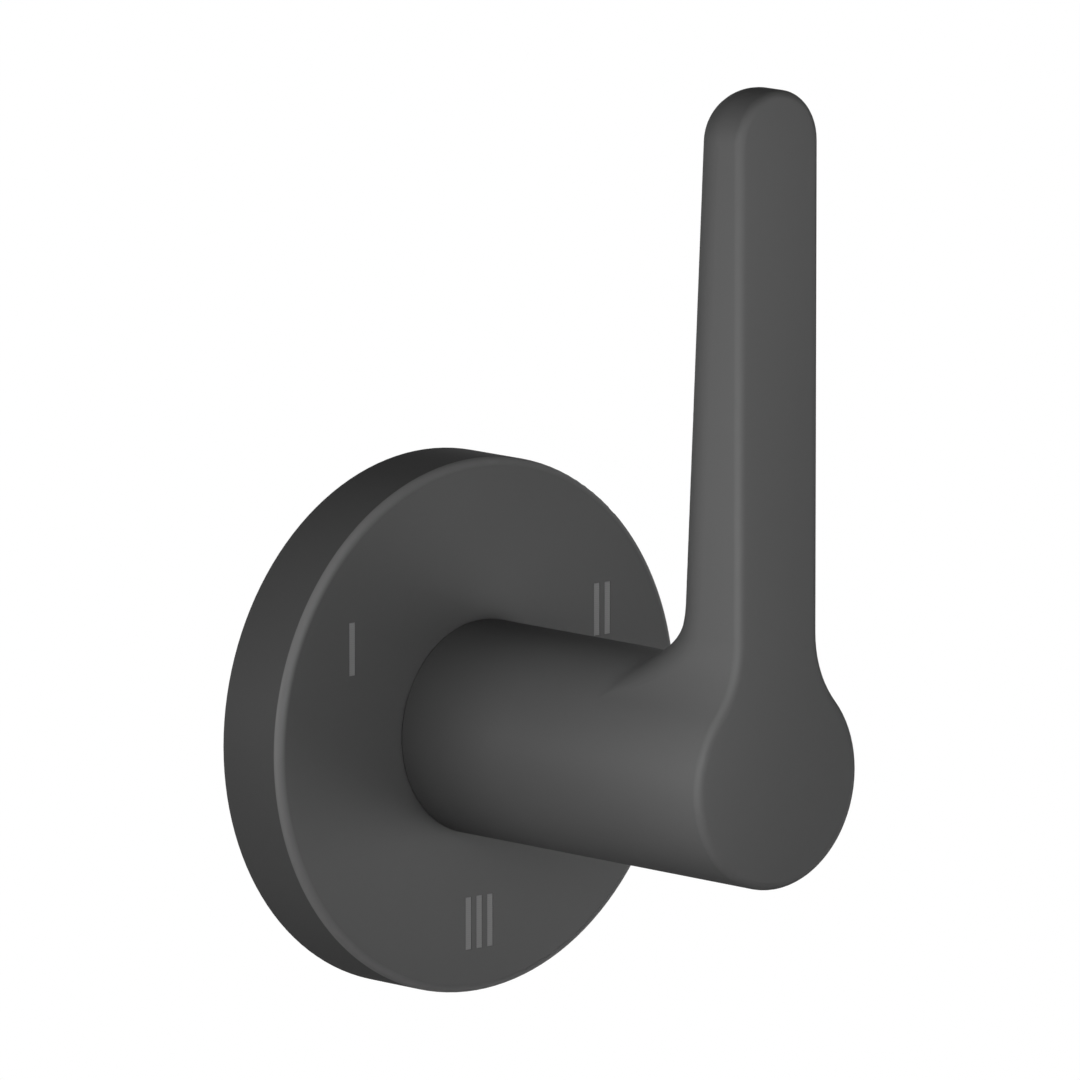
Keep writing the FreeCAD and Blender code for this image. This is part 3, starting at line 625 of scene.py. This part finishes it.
class VALVE_OT_headwork_housing(bpy.types.Operator):
    """Turns the brass housing, mills its hexagon and windows and cuts both threads"""
    bl_idname = "valve.headwork_housing"
    bl_label = "Headwork housing"

    def execute(self, context):
        sizes = context.scene.valve_threads
        pitch = sizes.pitch / MM
        housing = turned("headwork_housing_machined", self.outline(pitch, sizes.chamfer / MM))
        self.mill_hexagon(housing)
        self.mill_openings(housing, sizes.window_round)
        back, front = THREAD_BACK - GROOVE_START, -GROOVE_STOP
        cut(housing, helix_cutter("groove", THREAD_R, pitch, back, front))
        back, front = HEX_FRONT + SLEEVE_GROOVE_STOP, SLEEVE_THREAD_FRONT + GROOVE_START
        cut(housing, helix_cutter("groove", SLEEVE_THREAD_R, pitch, back, front))
        placed(housing, "turned_brass", stands_for=("headwork_housing",))
        return {"FINISHED"}

    def outline(self, pitch, chamfer):
        """Closed outline of (radius, front) points, from the chamber's edge round the outside and back."""
        corners = HEX_FLATS / math.sqrt(3)
        root = THREAD_R - RELIEF_SHARE * pitch
        sleeve_root = SLEEVE_THREAD_R - RELIEF_SHARE * pitch
        seal_half, seal_floor = SEAL_WIRE / 2 + SEAL_PLAY, SEAL_WIRE + SEAL_PLAY
        return [
            (CHAMBER_R + chamfer, NOSE_BACK), (NOSE_R - chamfer, NOSE_BACK), (NOSE_R, NOSE_BACK + chamfer),
            (NOSE_R, THREAD_BACK), (THREAD_R - THREAD_LEAD, THREAD_BACK),
            (THREAD_R, THREAD_BACK + THREAD_LEAD),
            (THREAD_R, -RELIEF_REACH), (root, -RELIEF_FLOOR), (root, 0.0),
            (SEAL_R - seal_half, 0.0), (SEAL_R - seal_half, seal_floor),
            (SEAL_R + seal_half, seal_floor), (SEAL_R + seal_half, 0.0),
            (corners - HEX_CHAMFER, 0.0), (corners, HEX_CHAMFER),
            (corners, HEX_FRONT - HEX_CHAMFER), (corners - HEX_CHAMFER, HEX_FRONT),
            (sleeve_root, HEX_FRONT), (sleeve_root, HEX_FRONT + SLEEVE_RELIEF_FLOOR),
            (SLEEVE_THREAD_R, HEX_FRONT + SLEEVE_RELIEF_REACH),
            (SLEEVE_THREAD_R, SLEEVE_THREAD_FRONT - SLEEVE_THREAD_LEAD),
            (SLEEVE_THREAD_R - SLEEVE_THREAD_LEAD, SLEEVE_THREAD_FRONT),
            (NECK_R, SLEEVE_THREAD_FRONT), (NECK_R, RING_SEAT_BACK - NECK_EDGE),
            (NECK_R - NECK_EDGE, RING_SEAT_BACK), (RING_SEAT_R, RING_SEAT_BACK),
            (RING_SEAT_R, NECK_FRONT - RING_SEAT_EDGE), (RING_SEAT_R - RING_SEAT_EDGE, NECK_FRONT),
            (BORE_R + BORE_EDGE, NECK_FRONT), (BORE_R, NECK_FRONT - BORE_EDGE),
            (BORE_R, CHAMBER_FLOOR), (CHAMBER_R, CHAMBER_FLOOR), (CHAMBER_R, NOSE_BACK + chamfer)]

    def mill_hexagon(self, housing):
        """Takes off what lies outside the hexagon, with a collar half as wide again and longer."""
        past = 0.5
        # A twelfth of a turn brings a flat to the top
        collar = circle("collar", 6, HEX_FLATS / math.sqrt(3), -past, math.radians(30))
        bpy.ops.mesh.extrude_region_move()
        bpy.ops.transform.resize(value=(1.5, 1, 1.5), center_override=(0, past * MM, 0))
        bpy.ops.mesh.select_all(action="SELECT")
        step = (0, -(HEX_FRONT + 2 * past) * MM, 0)
        bpy.ops.mesh.extrude_region_move(TRANSFORM_OT_translate={"value": step})
        cut(housing, done(collar))

    def mill_openings(self, housing, window_round):
        """Windows and slots right through the chamber's wall, and the flats of the stop ring's seat."""
        window = block("window", (THROUGH, WINDOW_FRONT - WINDOW_BACK, WINDOW_W),
                       (0, (WINDOW_FRONT + WINDOW_BACK) / 2, 0))
        choose(window, lambda a, b: abs(a.x - b.x) > THROUGH * MM / 2)
        bpy.ops.mesh.bevel(offset=window_round, segments=6, affect="EDGES")
        cut(housing, done(window))
        slot = block("tab_slot", (THROUGH, TAB_FRONT - TAB_BACK, TAB_W), (0, (TAB_FRONT + TAB_BACK) / 2, 0))
        cut(housing, done(slot))
        thickness, reach, _ = FLAT_CUTTER
        for side in (-1, 1):
            place = (side * (RING_SEAT_FLAT + thickness / 2), RING_SEAT_BACK + reach / 2, 0)
            cut(housing, done(block("flat", FLAT_CUTTER, place)))


# Lamps: name, azimuth and elevation in degrees seen from the valve, distance, side, watts
LAMPS = (
    ("key_low", 317, -10, 0.085, 0.04, 0.0260),
    ("key", 317, 5, 0.085, 0.04, 0.0230),
    ("key_high", 317, 40, 0.085, 0.04, 0.0145),
    ("front_high", 0, 40, 0.085, 0.04, 0.0080),
    ("right_low", 60, -35, 0.085, 0.04, 0.0280),
    ("right", 30, -10, 1.2, 0.5, 2.1),
    ("left", 265, -10, 1.2, 0.5, 3.0),
    ("left_back", 240, 5, 1.2, 0.5, 3.6),
    ("right_side", 105, 5, 1.2, 0.6, 6.0),
    ("back", 150, 8, 1.4, 0.9, 8.0),
)
LAMP_CENTRE = Vector((0, -0.03, 0.02))
FLOOR_GLOW = 0.97                 # what the floor gets as a background, where it lights nothing

# The camera as worked out from the photograph: its place in metres and its three axes
CAMERA_PLACE = (-1.25516, -1.37718, 0.32886)
CAMERA_RIGHT = (0.73443, -0.67868, 0.0)
CAMERA_UP = (0.11107, 0.12019, 0.98652)
CAMERA_BACK = (-0.66953, -0.72453, 0.16365)


class VALVE_OT_studio(bpy.types.Operator):
    """Pale floor, soft lamps, white surroundings and the camera at the photograph's angle"""
    bl_idname = "valve.studio"
    bl_label = "Studio"

    def execute(self, context):
        scene = context.scene
        settings = scene.valve_studio
        self.floor(settings, scene.valve_colours.floor)
        self.lamps()
        self.surroundings(scene)
        self.camera(scene, settings)
        return {"FINISHED"}

    def seen_rays(self, tree):
        """1 for rays that show a background: camera, glossy and transmission rays."""
        rays = add_node(tree, "ShaderNodeLightPath").outputs
        any_ray = rays["Is Camera Ray"]
        for name in ("Is Glossy Ray", "Is Transmission Ray"):
            larger = add_node(tree, "ShaderNodeMath", {"operation": "MAXIMUM"}, {0: any_ray, 1: rays[name]})
            any_ray = larger.outputs[0]
        return any_ray

    def floor(self, settings, colour_of_floor):
        """Plain floor far below, which keeps the shadow and shows as white from afar."""
        pick_nothing()
        bpy.ops.mesh.primitive_plane_add(size=settings.floor_size, location=(0, 0, -settings.floor_drop))
        floor = begun("studio_floor")
        bpy.ops.object.mode_set(mode="OBJECT")
        material, tree, shader, place = finish("matt_studio_paint", colour_of_floor, 0.9)
        white = add_node(tree, "ShaderNodeEmission", {"Color": (1, 1, 1, 1), "Strength": FLOOR_GLOW})
        both = add_node(tree, "ShaderNodeAddShader", {}, {0: white.outputs[0], 1: shader.outputs[0]})
        mix = add_node(tree, "ShaderNodeMixShader", {}, {0: self.seen_rays(tree), 1: shader.outputs[0],
                                                         2: both.outputs[0]})
        tree.links.new(mix.outputs[0], tree.nodes["Material Output"].inputs["Surface"])
        floor.data.materials.append(material)

    def lamps(self):
        """Square area lamps, each turned to the valve and unseen by the camera."""
        for name, azimuth, elevation, distance, side, watts in LAMPS:
            a, e = math.radians(azimuth), math.radians(elevation)
            direction = Vector((math.sin(a) * math.cos(e), -math.cos(a) * math.cos(e), math.sin(e)))
            bpy.ops.object.light_add(type="AREA", location=LAMP_CENTRE + direction * distance,
                                     rotation=(-direction).to_track_quat("-Z", "Y").to_euler())
            lamp = bpy.context.active_object
            lamp.name = name
            lamp.data.shape = "SQUARE"
            lamp.data.size = side
            lamp.data.energy = watts
            lamp.visible_camera = False

    def surroundings(self, scene):
        """White to the eye and to gloss; the lamps alone give the light."""
        scene.world = bpy.data.worlds.new("studio_surroundings")
        scene.world.use_nodes = True
        tree = scene.world.node_tree
        tree.nodes["Background"].inputs["Color"].default_value = (1, 1, 1, 1)
        tree.links.new(self.seen_rays(tree), tree.nodes["Background"].inputs["Strength"])
        scene.view_settings.view_transform = "Standard"

    def camera(self, scene, settings):
        """Camera at the place and angle from which the photograph was taken."""
        bpy.ops.object.camera_add()
        camera = bpy.context.active_object
        camera.name = "photo_camera"
        columns = (CAMERA_RIGHT, CAMERA_UP, CAMERA_BACK, CAMERA_PLACE)
        camera.matrix_world = Matrix([[column[i] for column in columns] for i in range(3)] + [[0, 0, 0, 1]])
        camera.data.lens = settings.lens
        camera.data.sensor_width = 36.0
        camera.data.clip_end = 50.0
        scene.camera = camera


OPERATORS = (VALVE_OT_finishes, VALVE_OT_eased_edges, VALVE_OT_position_marks, VALVE_OT_headwork_housing,
             VALVE_OT_studio)


class VALVE_PT_panel(bpy.types.Panel):
    """Lists the steps that build the valve's look, and their sizes"""
    bl_idname = "VALVE_PT_panel"
    bl_label = "Diverter valve"
    bl_space_type = "VIEW_3D"
    bl_region_type = "UI"
    bl_category = "Valve"

    def draw(self, context):
        """Sizes and colours first, then one button for each step."""
        for name in GROUPS:
            group = getattr(context.scene, name)
            box = self.layout.box()
            for key in group.__annotations__:
                box.prop(group, key)
        for operator in OPERATORS:
            self.layout.operator(operator.bl_idname)


CLASSES = (*GROUPS.values(), *OPERATORS, VALVE_PT_panel)


def register():
    """Makes the classes and the scene's settings known to Blender."""
    for each in CLASSES:
        bpy.utils.register_class(each)
    for name, group in GROUPS.items():
        setattr(bpy.types.Scene, name, bpy.props.PointerProperty(type=group))


def unregister():
    """Takes them out again."""
    for name in GROUPS:
        delattr(bpy.types.Scene, name)
    for each in reversed(CLASSES):
        bpy.utils.unregister_class(each)


def main():
    """Runs every step in order."""
    register()
    for operator in OPERATORS:
        group, name = operator.bl_idname.split(".")
        getattr(getattr(bpy.ops, group), name)()


if __name__ == "__main__":
    main()
